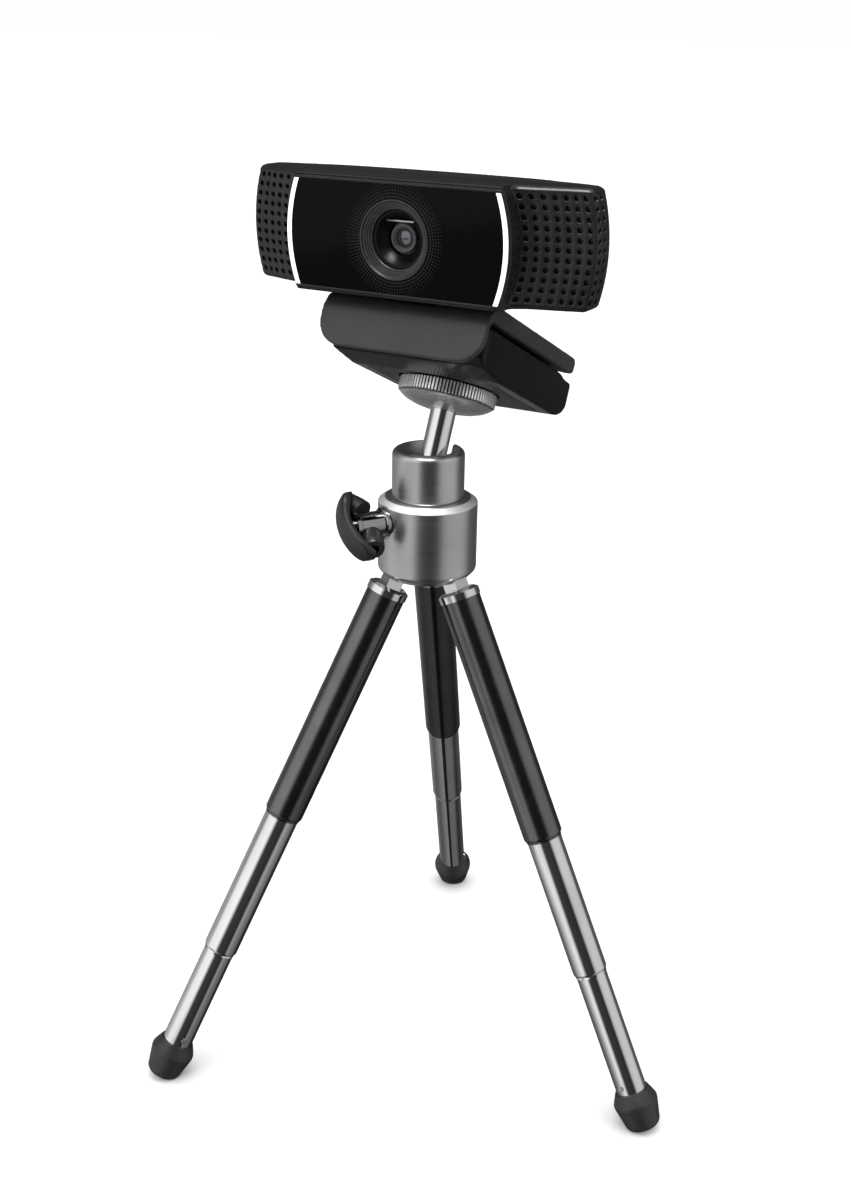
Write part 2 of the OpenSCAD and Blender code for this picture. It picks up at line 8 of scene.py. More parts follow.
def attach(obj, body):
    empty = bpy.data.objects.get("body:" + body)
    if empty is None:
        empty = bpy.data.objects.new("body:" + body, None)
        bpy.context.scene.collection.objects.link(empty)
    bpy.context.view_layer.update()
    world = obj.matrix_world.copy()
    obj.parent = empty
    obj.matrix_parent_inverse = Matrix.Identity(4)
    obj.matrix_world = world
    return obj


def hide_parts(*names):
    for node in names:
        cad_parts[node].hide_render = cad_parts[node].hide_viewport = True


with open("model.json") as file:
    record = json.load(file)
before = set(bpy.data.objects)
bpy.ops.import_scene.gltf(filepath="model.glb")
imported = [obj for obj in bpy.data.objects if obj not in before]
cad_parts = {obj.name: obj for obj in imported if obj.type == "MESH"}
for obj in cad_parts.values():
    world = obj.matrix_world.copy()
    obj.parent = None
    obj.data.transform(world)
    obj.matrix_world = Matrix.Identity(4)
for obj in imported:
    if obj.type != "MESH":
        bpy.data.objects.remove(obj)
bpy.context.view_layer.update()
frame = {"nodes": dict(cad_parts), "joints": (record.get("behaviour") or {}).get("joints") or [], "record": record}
NODES = frame["nodes"]
JOINTS = {j["name"]: j for j in frame["joints"]}
MM = 0.001
PLATFORM_R = 12.83


# ---------------------------------------------------------------- frames
def axis_of(name):
    return Vector(JOINTS[name]["axis"]).normalized()


def pos_of(name):
    return Vector(JOINTS[name]["pos_m"])


def make_frame(origin, x, y, z):
    """A placement whose three axes are given in the part's frame."""
    m = Matrix((x, y, z)).transposed().to_4x4()
    m.translation = origin
    return m


X_CLIP = -axis_of("ball_tilt")
STEM = axis_of("webcam_swivel")
CLIP = make_frame(pos_of("webcam_swivel"), X_CLIP, STEM.cross(X_CLIP), STEM)
# the webcam stands level
Z_CAM = Vector((0, 0, 1))
Y_CAM = Z_CAM.cross(X_CLIP)
# the webcam's tilt hinge, seen from the middle of its panel's face
HINGE_IN_CAM = Vector((1.0, 10.4, -17.3))
TO_HINGE = X_CLIP * HINGE_IN_CAM.x + Y_CAM * HINGE_IN_CAM.y + Z_CAM * HINGE_IN_CAM.z
CAM = make_frame(pos_of("webcam_tilt") - MM * TO_HINGE, X_CLIP, Y_CAM, Z_CAM)
HUB_XY = pos_of("ball_pan")
KNOB_AXIS = axis_of("lock_turn")
DOWN = Vector((0, 0, -1))
KNOB_ROOT = Vector((HUB_XY.x, HUB_XY.y, pos_of("lock_turn").z))
KNOB = make_frame(KNOB_ROOT, DOWN, KNOB_AXIS.cross(DOWN), KNOB_AXIS)


# ---------------------------------------------------------------- meshes
def build(name, verts, faces, frame_m, material, body, nodes=(), sharp=35, weld=0.0005):
    """A piece from vertices in millimetres in a frame, riding on a body and standing for CAD nodes."""
    mesh = bpy.data.meshes.new(name)
    mesh.from_pydata([frame_m @ (Vector(v) * MM) for v in verts], [], faces)
    ob = bpy.data.objects.new(name, mesh)
    bpy.context.scene.collection.objects.link(ob)
    finish_mesh(ob, sharp, weld)
    return place(ob, material, body, nodes)


def finish_mesh(ob, sharp, weld):
    """Welds the seams, turns the faces outward and shades smooth below the sharp angle."""
    bm = bmesh.new()
    bm.from_mesh(ob.data)
    if weld:
        bmesh.ops.remove_doubles(bm, verts=bm.verts, dist=weld * MM)
    bmesh.ops.dissolve_degenerate(bm, edges=bm.edges, dist=1e-8)
    bmesh.ops.recalc_face_normals(bm, faces=bm.faces)
    for f in bm.faces:
        f.smooth = True
    for e in bm.edges:
        e.smooth = len(e.link_faces) == 2 and e.calc_face_angle(0) < math.radians(sharp)
    bm.to_mesh(ob.data)
    bm.free()


def place(ob, material, body, nodes=()):
    """Gives a piece its material, the body it rides on and the CAD nodes it stands for."""
    ob.data.materials.clear()
    ob.data.materials.append(material)
    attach(ob, body)
    if nodes:
        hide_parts(*nodes)
    return ob


def grid_faces(n, rows):
    """Quads between closed rows of n vertices each."""
    faces = []
    for r in range(rows - 1):
        for k in range(n):
            a = r * n + k
            b = r * n + (k + 1) % n
            faces.append((a, b, b + n, a + n))
    return faces


def lathe(profile, segs=96):
    """Rings from (radius, height) pairs; a radius of 0 closes the end."""
    verts, faces, rings = [], [], []
    for r, h in profile:
        if r <= 1e-6:
            rings.append([len(verts)])
            verts.append((0, 0, h))
        else:
            rings.append(list(range(len(verts), len(verts) + segs)))
            turns = [2 * math.pi * k / segs for k in range(segs)]
            verts += [(r * math.cos(a), r * math.sin(a), h) for a in turns]
    for a, b in zip(rings, rings[1:]):
        for k in range(segs):
            n = (k + 1) % segs
            if len(a) == 1 and len(b) == 1:
                continue
            if len(a) == 1:
                faces.append((a[0], b[n], b[k]))
            elif len(b) == 1:
                faces.append((a[k], a[n], b[0]))
            else:
                faces.append((a[k], a[n], b[n], b[k]))
    return verts, faces


def smoothstep(a, b, x):
    """0 below a and 1 above b, with a soft change between them."""
    t = min(1, max(0, (x - a) / (b - a)))
    return t * t * (3 - 2 * t)


def melt(ob, voxel, steps, ratio):
    """Rounds a piece's edges and joins, the way moulding does."""
    mod = ob.modifiers.new("Remesh", "REMESH")
    mod.mode, mod.voxel_size, mod.use_smooth_shade = "VOXEL", voxel * MM, True
    mod = ob.modifiers.new("Smooth", "SMOOTH")
    mod.factor, mod.iterations = 0.5, steps
    mod = ob.modifiers.new("Decimate", "DECIMATE")
    mod.ratio = ratio
    mod = ob.modifiers.new("Even", "SMOOTH")
    mod.factor, mod.iterations = 0.4, 2
    ob.modifiers.new("Weighted", "WEIGHTED_NORMAL").weight = 80
    dg = bpy.context.evaluated_depsgraph_get()
    mesh = bpy.data.meshes.new_from_object(ob.evaluated_get(dg))
    ob.modifiers.clear()
    ob.data = mesh
    for p in mesh.polygons:
        p.use_smooth = True


def soften(name, node, material, body, voxel):
    """A copy of a CAD node with moulded edges."""
    ob = bpy.data.objects.new(name, NODES[node].data.copy())
    bpy.context.scene.collection.objects.link(ob)
    bm = bmesh.new()
    bm.from_mesh(ob.data)
    bmesh.ops.remove_doubles(bm, verts=bm.verts, dist=2e-6)
    bm.to_mesh(ob.data)
    bm.free()
    melt(ob, voxel, 6, 0.25)
    return place(ob, material, body, (node,))


# ---------------------------------------------------------------- materials
class Mat:
    """A node material with a principled shader and small helpers for procedural detail."""

    def __init__(self, name, color, rough, metallic=0.0, **sockets):
        self.mat = bpy.data.materials.new(name)
        self.mat.use_nodes = True
        self.t = self.mat.node_tree
        self.p = self.t.nodes["Principled BSDF"]
        self.p.inputs["Base Color"].default_value = (*color, 1)
        self.p.inputs["Roughness"].default_value = rough
        self.p.inputs["Metallic"].default_value = metallic
        for key, value in sockets.items():
            self.p.inputs[key.replace("_", " ")].default_value = value
        self.coord = self.t.nodes.new("ShaderNodeTexCoord").outputs["Object"]

    def node(self, kind, **props):
        n = self.t.nodes.new(kind)
        for k, v in props.items():
            setattr(n, k, v)
        return n

    def link(self, a, b):
        self.t.links.new(a, b)

    def mapped(self, scale):
        n = self.node("ShaderNodeMapping")
        n.inputs["Scale"].default_value = scale
        self.link(self.coord, n.inputs["Vector"])
        return n.outputs["Vector"]

    def noise(self, scale, detail=4, vector=None, rough=0.6):
        n = self.node("ShaderNodeTexNoise")
        n.inputs["Scale"].default_value = scale
        n.inputs["Detail"].default_value = detail
        n.inputs["Roughness"].default_value = rough
        self.link(vector or self.coord, n.inputs["Vector"])
        return n.outputs["Fac"]

    def ramp(self, fac, stops):
        n = self.node("ShaderNodeValToRGB")
        while len(n.color_ramp.elements) < len(stops):
            n.color_ramp.elements.new(0.5)
        for el, (at, c) in zip(n.color_ramp.elements, stops):
            el.position = at
            el.color = (*c, 1) if hasattr(c, "__len__") else (c, c, c, 1)
        self.link(fac, n.inputs["Fac"])
        return n.outputs["Color"]

    def math(self, op, a, b=None):
        n = self.node("ShaderNodeMath", operation=op)
        for i, v in enumerate((a, b)):
            if v is None:
                continue
            if isinstance(v, (int, float)):
                n.inputs[i].default_value = v
            else:
                self.link(v, n.inputs[i])
        return n.outputs[0]

    def span(self, fac, low, high, to_low, to_high):
        n = self.node("ShaderNodeMapRange")
        for i, v in enumerate((low, high, to_low, to_high)):
            n.inputs[i + 1].default_value = v
        self.link(fac, n.inputs[0])
        return n.outputs[0]

    def bump(self, height, strength, distance):
        n = self.node("ShaderNodeBump")
        n.inputs["Strength"].default_value = strength
        n.inputs["Distance"].default_value = distance * MM
        self.link(height, n.inputs["Height"])
        last = self.p.inputs["Normal"].links
        if last:
            self.link(last[0].from_socket, n.inputs["Normal"])
        self.link(n.outputs["Normal"], self.p.inputs["Normal"])

    def color(self, socket):
        self.link(socket, self.p.inputs["Base Color"])

    def rough(self, socket):
        self.link(socket, self.p.inputs["Roughness"])


def plastic(name, dark, light, rough, grain, grain_depth, spread=0.05, **sockets):
    """Moulded plastic: fine grain, slight cloudiness in colour and shine."""
    m = Mat(name, dark, rough, **sockets)
    cloud = m.noise(90, 3)
    m.color(m.ramp(cloud, [(0.3, dark), (0.72, light)]))
    fine = m.noise(grain, 2)
    m.rough(m.span(m.noise(400, 4), 0.3, 0.7, rough - spread, rough + spread))
    m.bump(fine, 0.35, grain_depth)
    return m.mat


def metal(name, dark, light, rough_lo, rough_hi, **sockets):
    """Plated or polished metal with faint wipe marks and specks."""
    m = Mat(name, light, rough_lo, 1.0, **sockets)
    m.color(m.ramp(m.noise(60, 5), [(0.25, dark), (0.7, light)]))
    wipe = m.noise(1400, 3, m.mapped((1, 1, 0.08)))
    m.rough(m.span(m.math("ADD", m.math("MULTIPLY", wipe, 0.5), m.math("MULTIPLY", m.noise(250, 6), 0.5)),
                   0.35, 0.65, rough_lo, rough_hi))
    return m


BODY = plastic("body_plastic", (0.006, 0.0062, 0.0066), (0.011, 0.0112, 0.0118), 0.27, 5200, 0.004,
               Specular_IOR_Level=0.34)
GRILLE = plastic("grille_plastic", (0.008, 0.0082, 0.0086), (0.014, 0.0142, 0.0148), 0.34, 5200, 0.010,
                 Specular_IOR_Level=0.35)
LIP = plastic("lip_plastic", (0.018, 0.0182, 0.019), (0.025, 0.0252, 0.026), 0.45, 4200, 0.012)
CLIP_PLASTIC = plastic("clip_plastic", (0.004, 0.0041, 0.0044), (0.0065, 0.0066, 0.007), 0.2, 4800, 0.0005,
                       spread=0.02, Specular_IOR_Level=0.16)
KNOB_PLASTIC = plastic("knob_plastic", (0.009, 0.009, 0.0095), (0.016, 0.016, 0.0165), 0.36, 3600, 0.012)
RUBBER = plastic("foot_rubber", (0.012, 0.012, 0.0125), (0.024, 0.024, 0.0245), 0.4, 2600, 0.02)
GLOSS = plastic("inner_black", (0.002, 0.002, 0.0022), (0.004, 0.004, 0.0043), 0.3, 3000, 0.004,
                Specular_IOR_Level=0.2)
BOARD = plastic("board_green", (0.02, 0.12, 0.05), (0.03, 0.17, 0.08), 0.35, 1200, 0.02)
NYLON = plastic("nylon", (0.7, 0.68, 0.62), (0.78, 0.76, 0.7), 0.4, 2000, 0.01)

CHROME = metal("chrome", (0.72, 0.72, 0.73), (0.82, 0.82, 0.83), 0.05, 0.13).mat
# a darker copy of the chrome: painted shade standing in for the dark surroundings that the knob's screw reflects
CHROME_PAINTED_SHADE = metal("chrome_painted_shade", (0.26, 0.26, 0.27), (0.36, 0.36, 0.37), 0.06, 0.14).mat
STEEL = metal("steel", (0.5, 0.5, 0.51), (0.66, 0.66, 0.67), 0.18, 0.32).mat
BRASS = metal("brass", (0.55, 0.4, 0.18), (0.72, 0.55, 0.28), 0.2, 0.35).mat

CHAMFER_LOW, CHAMFER_HIGH = 0.1605, 0.1616   # heights of the chamfer round the hub's top


def turned_metal():
    """Satin turned metal: fine rings round the upright axis and a blasted sparkle."""
    m = Mat("turned_metal", (0.5, 0.5, 0.5), 0.3, 1.0)
    rings = m.noise(1.0, 4, m.mapped((60, 60, 5200)))
    sparkle = m.noise(3800, 2)
    up = m.node("ShaderNodeSeparateXYZ")
    m.link(m.coord, up.inputs[0])
    # painted highlight: the chamfer round the hub's top gets a paler colour than the rest, standing in for the
    # light it catches; it is also rougher, as if blasted
    chamfer = m.math("MULTIPLY", m.span(up.outputs["Z"], CHAMFER_LOW - 0.00015, CHAMFER_LOW, 0, 1),
                     m.span(up.outputs["Z"], CHAMFER_HIGH, CHAMFER_HIGH + 0.0001, 1, 0))
    tone_and_highlight = m.math("ADD", m.noise(70, 4), chamfer)
    # the last, near-white stop is the painted highlight on the chamfer; the others are random tone
    tone_stops_and_highlight = [(0.3, (0.5, 0.5, 0.505)), (0.7, (0.6, 0.6, 0.605)), (1.0, (0.96, 0.96, 0.96))]
    m.color(m.ramp(tone_and_highlight, tone_stops_and_highlight))
    grain = m.math("ADD", m.math("MULTIPLY", rings, 0.6), m.math("MULTIPLY", sparkle, 0.4))
    m.rough(m.math("ADD", m.span(grain, 0.3, 0.7, 0.24, 0.40), m.math("MULTIPLY", chamfer, 0.25)))
    m.bump(rings, 0.25, 0.006)
    m.bump(sparkle, 0.3, 0.008)
    return m.mat


def black_tube():
    """Satin black plating with a soft sheen and faint drawing marks."""
    m = Mat("black_tube", (0.16, 0.16, 0.165), 0.24, 1.0)
    m.color(m.ramp(m.noise(80, 5), [(0.3, (0.135, 0.135, 0.14)), (0.7, (0.175, 0.175, 0.18))]))
    m.rough(m.span(m.noise(500, 5), 0.3, 0.7, 0.17, 0.26))
    m.bump(m.noise(2600, 3), 0.15, 0.006)
    return m.mat


def knurled_metal():
    """Plated knurl: painted highlight on the tooth crests, painted shade in the gaps between them, a little darker
    towards the middle.
    """
    m = Mat("knurled_metal", (0.86, 0.86, 0.87), 0.2, 0.8)
    sub = m.node("ShaderNodeVectorMath", operation="SUBTRACT")
    m.link(m.coord, sub.inputs[0])
    sub.inputs[1].default_value = CLIP.translation
    cross = m.node("ShaderNodeVectorMath", operation="CROSS_PRODUCT")
    m.link(sub.outputs[0], cross.inputs[0])
    cross.inputs[1].default_value = STEM / (PLATFORM_R * MM)
    length = m.node("ShaderNodeVectorMath", operation="LENGTH")
    m.link(cross.outputs[0], length.inputs[0])
    cloud = m.math("MULTIPLY", m.math("SUBTRACT", m.noise(700, 4), 0.5), 0.02)
    out = m.math("ADD", length.outputs["Value"], cloud)
    # by distance from the stem's axis: painted shade (near black) in the gaps between the teeth, painted highlight
    # on their crests
    m.color(m.ramp(out, [(0.0, 0.42), (0.945, 0.5), (0.962, 0.02), (0.972, 0.03), (0.986, 0.95)]))
    m.rough(m.span(m.noise(1500, 4), 0.3, 0.7, 0.16, 0.28))
    return m.mat


def barrel_metal():
    """Dark anodised barrel whose turned rim catches the light."""
    m = Mat("barrel_metal", (0.06, 0.06, 0.065), 0.3, 0.3)
    m.color(m.ramp(m.noise(800, 3), [(0.3, (0.05, 0.05, 0.055)), (0.7, (0.08, 0.08, 0.085))]))
    m.rough(m.span(m.noise(1800, 3), 0.3, 0.7, 0.22, 0.36))
    return m.mat


TURNED = turned_metal()
KNURLED = knurled_metal()
BARREL = barrel_metal()
BLACK_TUBE = black_tube()


def strip_white():
    """Milky white strips beside the panel, with a painted glow that keeps them white in the dim light from the
    front.
    """
    # painted light: the strips emit light though they are no lamp
    m = Mat("strip_white", (0.9, 0.91, 0.92), 0.25, 0.0, Coat_Weight=0.6, Emission_Strength=0.55)
    m.p.inputs["Emission Color"].default_value = (1, 1, 1, 1)
    m.color(m.ramp(m.noise(300, 3), [(0.3, (0.86, 0.87, 0.88)), (0.7, (0.94, 0.94, 0.95))]))
    m.bump(m.noise(900, 3), 0.15, 0.01)
    return m.mat


HALO_SPOKES = 96                 # dots in each ring of the halo round the lens
HALO_START, HALO_END = 9.6, 13.3
HALO_STEP = 0.74                 # from one ring of dots to the next


def panel_gloss():
    """Glossy panel with a halo of tiny dots in rings round the lens."""
    m = Mat("panel_gloss", (0.0015, 0.0015, 0.0017), 0.05, 0.0, Specular_IOR_Level=0.07)
    sub = m.node("ShaderNodeVectorMath", operation="SUBTRACT")
    m.link(m.coord, sub.inputs[0])
    sub.inputs[1].default_value = CAM.translation

    def along(axis):
        dot = m.node("ShaderNodeVectorMath", operation="DOT_PRODUCT")
        m.link(sub.outputs[0], dot.inputs[0])
        dot.inputs[1].default_value = axis / MM
        return dot.outputs["Value"]

    x, z = along(X_CLIP), along(Z_CAM)
    r = m.math("SQRT", m.math("ADD", m.math("MULTIPLY", x, x), m.math("MULTIPLY", z, z)))
    spoke = m.math("MULTIPLY", m.math("ARCTAN2", z, x), HALO_SPOKES / (2 * math.pi))
    cell_a = m.math("SUBTRACT", m.math("FRACT", m.math("ADD", spoke, 100)), 0.5)
    across = m.math("MULTIPLY", cell_a, m.math("MULTIPLY", r, 2 * math.pi / HALO_SPOKES))
    ring = m.math("MULTIPLY", m.math("SUBTRACT", r, HALO_START), 1 / HALO_STEP)
    cell_r = m.math("SUBTRACT", m.math("FRACT", m.math("ADD", ring, 100)), 0.5)
    out = m.math("MULTIPLY", cell_r, HALO_STEP)
    d = m.math("SQRT", m.math("ADD", m.math("MULTIPLY", across, across), m.math("MULTIPLY", out, out)))
    fade = m.span(r, HALO_START, HALO_END - 0.1, 0.24, 0.12)
    dot = m.math("LESS_THAN", d, fade)
    inside = m.math("MULTIPLY", m.math("GREATER_THAN", r, HALO_START), m.math("LESS_THAN", r, HALO_END))
    mask = m.math("MULTIPLY", dot, inside)
    m.color(m.ramp(mask, [(0.0, (0.0015, 0.0015, 0.0017)), (1.0, (0.02, 0.02, 0.021))]))
    m.rough(m.math("ADD", m.span(m.noise(300, 4), 0.3, 0.7, 0.03, 0.07), m.math("MULTIPLY", mask, 0.35)))
    return m.mat


def lens_black():
    """Matt black of the stepped rings."""
    m = Mat("lens_black", (0.01, 0.01, 0.011), 0.35)
    m.color(m.ramp(m.noise(700, 3), [(0.3, (0.012, 0.012, 0.013)), (0.7, (0.02, 0.02, 0.021))]))
    m.rough(m.span(m.noise(900, 3), 0.3, 0.7, 0.26, 0.4))
    m.bump(m.noise(4200, 2), 0.2, 0.006)
    return m.mat


def lens_glass():
    """Coated front element."""
    m = Mat("lens_glass", (0.01, 0.012, 0.014), 0.02, 0.0, Coat_Weight=1.0, Coat_Roughness=0.01)
    m.color(m.ramp(m.noise(300, 2), [(0.35, (0.012, 0.016, 0.02)), (0.7, (0.02, 0.018, 0.03))]))
    m.p.inputs["Coat IOR"].default_value = 1.9
    m.p.inputs["Specular Tint"].default_value = (0.75, 0.9, 0.85, 1)
    m.rough(m.span(m.noise(500, 2), 0.3, 0.7, 0.015, 0.03))
    return m.mat


STRIP = strip_white()
PANEL = panel_gloss()
LENS_BLACK = lens_black()
GLASS = lens_glass()

BY_SLOT = {
    "turned_metal": TURNED, "knurled_metal": KNURLED, "chrome": CHROME, "black_tube": BLACK_TUBE,
    "steel": STEEL, "brass": BRASS, "nylon": NYLON, "black_knob": KNOB_PLASTIC, "black_rubber": RUBBER,
    "clip_plastic": CLIP_PLASTIC, "body_plastic": BODY, "gloss_black": PANEL, "white_strip": STRIP,
    "lens_black": LENS_BLACK, "lens_glass": GLASS, "board_green": BOARD, "sensor_glass": GLOSS,
}
SLOT_OF = {s["node"]: s["material_slot"] for s in frame["record"]["subparts"]}
for node_name, ob in NODES.items():
    ob.data.materials.clear()
    # the knob's screw takes the chrome with painted shade
    ob.data.materials.append(CHROME_PAINTED_SHADE if node_name == "knob_screw" else BY_SLOT[SLOT_OF[node_name]])

# ---------------------------------------------------------------- webcam
HALF_H = 14.1
WING_H = 14.0
HALF_W = 47.8
WING_ROOT = 28.4                 # where a wing starts beside the panel
CORNER_R = 1.0                   # front corner at the end of a wing
PANEL_SIDE, PANEL_BOW = 27.9, 2.9


def bow(z, inset=0.0):
    """Half width of the panel at a height; its sides bulge out in the middle."""
    return PANEL_SIDE + PANEL_BOW * (1 - (z / HALF_H) ** 2) - inset


def wing_y(x):
    """How far a wing's front lies behind the panel's face."""
    u = max(0.0, (abs(x) - WING_ROOT) / (HALF_W - WING_ROOT))
    return 4.2 + 6.3 * u ** 0.62


def tip_cut(z):
    """How much shorter a wing is towards its top and bottom corners."""
    return 2.2 * (z / WING_H) ** 2


GRILLE_END = 15.4                # how far back a grille wraps round the end of its wing
GRILLE_SINK = 1.35               # depth of the recess that a grille lies in


def plan_points():
    """The webcam's outline from above, anticlockwise, starting beside the panel on the right."""
    pts = []
    n = 22
    for k in range(n + 1):
        x = WING_ROOT + (HALF_W - CORNER_R - WING_ROOT) * (k / n) ** 1.15
        pts.append((x, wing_y(x), "front"))
    for a in range(1, 7):
        t = math.radians(-90 + 90 * a / 6)
        pts.append((HALF_W - CORNER_R + CORNER_R * math.cos(t), 11.6 + 1.1 * math.sin(t), "front"))
    pts += [(HALF_W, GRILLE_END, "front"), (HALF_W, GRILLE_END + 0.05, "tip")]
    for a in range(0, 7):
        t = math.radians(90 * a / 6)
        pts.append((HALF_W - 2.3 + 2.2 * math.cos(t), 16.3 + 2.2 * math.sin(t), "tip"))
    for k in range(0, 25):
        u = 1 - 2 * k / 24
        x = 44.8 * u
        pts.append((x, 23.2 - 4.45 * abs(u) ** 2.4, "back"))
    return pts + [(-x, y, s) for x, y, s in reversed(pts[:-25])]


def shell_piece():
    """The dark housing: crowned back, thin rim round each grille, rounded edges top and bottom."""
    pts = plan_points()
    n = len(pts)
    normals = []
    for k in range(n):
        (x0, y0, _), (x1, y1, _) = pts[k - 1], pts[(k + 1) % n]
        d = Vector((x1 - x0, y1 - y0))
        d.normalize()
        normals.append((d.y, -d.x))
    # height, inset from the outline, and whether the grille's recess shows there
    levels = [(1.0, 1.5, 0), (0.985, 0.8, 0), (0.962, 0.3, 0)]
    levels += [(0.93, 0.05, 0), (0.918, 0.0, 0), (0.912, 0.0, 1)]
    levels += [(0.912 * (1 - 2 * k / 14), 0.0, 1) for k in range(1, 14)]
    levels += [(-h, i, p) for h, i, p in reversed(levels[:6])]
    verts = []
    for h, inset, recess in levels:
        for (x, y, part), (nx, ny) in zip(pts, normals):
            high = HALF_H - (HALF_H - WING_H) * smoothstep(WING_ROOT + 0.1, 33, abs(x))
            z = h * high
            px, py = x - nx * inset, y - ny * inset
            if recess and part == "front":
                px, py = px - nx * GRILLE_SINK, py - ny * GRILLE_SINK
            px -= math.copysign(tip_cut(z) * smoothstep(38, HALF_W, abs(x)), x)
            verts.append((px, py, z))
    faces = grid_faces(n, len(levels))
    faces.append(tuple(range(n)))
    faces.append(tuple(reversed(range((len(levels) - 1) * n, len(levels) * n))))
    return verts, faces


verts, faces = shell_piece()
build("housing", verts, faces, CAM, BODY, "camera", ("rear_shell",), sharp=32)


def ring_of(inset_x, inset_z, steps_z=24, steps_x=16):
    """Closed outline of the panel block at an inset: right side up, top, left side, bottom."""
    pts = []
    h = HALF_H - inset_z
    for k in range(steps_z):
        z = -h + 2 * h * k / steps_z
        pts.append((bow(z, inset_x), z))
    for k in range(steps_x):
        x = bow(h, inset_x) * (1 - 2 * k / steps_x)
        pts.append((x, h))
    for k in range(steps_z):
        z = h - 2 * h * k / steps_z
        pts.append((-bow(z, inset_x), z))
    for k in range(steps_x):
        x = -bow(h, inset_x) * (1 - 2 * k / steps_x)
        pts.append((x, -h))
    return pts


def bezel_piece():
    """The front frame: a stepped rail above and below the panel, thin at the sides."""
    profile = [  # side inset, top inset, depth
        (2.4, 2.6, 5.2), (0.0, 0.0, 5.3), (0.0, 0.0, 1.5), (0.03, 0.06, 1.0),
        (0.12, 0.2, 0.62), (0.25, 0.42, 0.42), (0.27, 0.5, 0.48), (0.29, 0.6, 0.5),
        (0.31, 0.68, 0.36), (0.34, 0.8, 0.16), (0.4, 0.95, 0.04), (0.46, 1.15, 0.0),
        (0.52, 1.32, 0.02), (0.57, 1.44, 0.1), (0.6, 1.5, 0.25), (0.6, 1.5, 2.2), (2.4, 2.6, 2.3)]
    rows = [[(x, y, z) for x, z in ring_of(sx, sz)] for sx, sz, y in profile]
    n = len(rows[0])
    verts = [v for row in rows for v in row]
    faces = grid_faces(n, len(rows))
    last = (len(rows) - 1) * n
    faces += [(last + k, last + (k + 1) % n, (k + 1) % n, k) for k in range(n)]
    return verts, faces


verts, faces = bezel_piece()
build("front_frame", verts, faces, CAM, BODY, "camera", ("front_bezel",), sharp=50)

HOLE_COLS, HOLE_ROWS = 9, 11
HOLE_R = 0.64
GRILLE_LEN, GRILLE_HALF_H = 22.5, 12.8

# the right wing's front seen from above, and the distance along it at each point
FRONT = [(x, y) for x, y, part in plan_points() if part == "front" and x > 0]
STATIONS = [0.0]
for (x0, y0), (x1, y1) in zip(FRONT, FRONT[1:]):
    STATIONS.append(STATIONS[-1] + math.hypot(x1 - x0, y1 - y0))


def on_front(s):
    """A point and its outward normal on the wing's front, seen from above, s along the curve."""
    k = max(i for i in range(len(FRONT) - 1) if STATIONS[i] <= max(s, 0))
    (x0, y0), (x1, y1) = FRONT[k], FRONT[k + 1]
    step = STATIONS[k + 1] - STATIONS[k]
    t = (s - STATIONS[k]) / step
    return x0 + (x1 - x0) * t, y0 + (y1 - y0) * t, (y1 - y0) / step, -(x1 - x0) / step


def grille_point(u, v, depth, side):
    """A point on a wing's hollow front: u from the panel to the end, v up, depth into it."""
    z = v * GRILLE_HALF_H
    start = max(bow(z) + 0.05 - FRONT[0][0], 0.1) * 1.03
    x, y, nx, ny = on_front(start + (STATIONS[-1] - 0.05 - start) * u)
    cut = tip_cut(z) * smoothstep(38, HALF_W, x)
    return (side * (x - cut - depth * nx), y - depth * ny, z)


def grille_piece(side):
    """A wing's perforated front, one square cell with a sunk hole at a time."""
    verts, faces, index = [], [], {}

    def vert(u, v, d):
        key = (round(u, 6), round(v, 6), d)
        if key not in index:
            index[key] = len(verts)
            verts.append(grille_point(u, v, d, side))
        return index[key]

    edge = [(1, -1), (1, -0.5), (1, 0), (1, 0.5)]
    edge += [(-b, a) for a, b in edge]
    square = edge + [(-a, -b) for a, b in edge]
    du, dv = 0.5 / HOLE_COLS, 1.0 / HOLE_ROWS
    ru, rv = HOLE_R / GRILLE_LEN, HOLE_R / GRILLE_HALF_H
    rim = [(a / math.hypot(a, b), b / math.hypot(a, b)) for a, b in square]
    for c in range(HOLE_COLS):
        for r in range(HOLE_ROWS):
            cu, cv = (c + 0.5) / HOLE_COLS, -1 + (2 * r + 1) / HOLE_ROWS
            loops = [[vert(cu + a * du, cv + b * dv, 0.0) for a, b in square]]
            for grow, depth in ((1.28, 0.0), (1.1, 0.05), (1.0, 0.18), (0.96, 1.25)):
                loops.append([vert(cu + ru * grow * a, cv + rv * grow * b, depth) for a, b in rim])
            for inner, outer in zip(loops[1:], loops):
                for k in range(16):
                    n = (k + 1) % 16
                    faces.append((outer[k], outer[n], inner[n], inner[k]))
    return verts, faces


for side, name in ((-1, "left"), (1, "right")):
    verts, faces = grille_piece(side)
    build("grille_" + name, verts, faces, CAM, GRILLE, "camera", ("mic_grille_" + name,),
          sharp=40, weld=0.0)

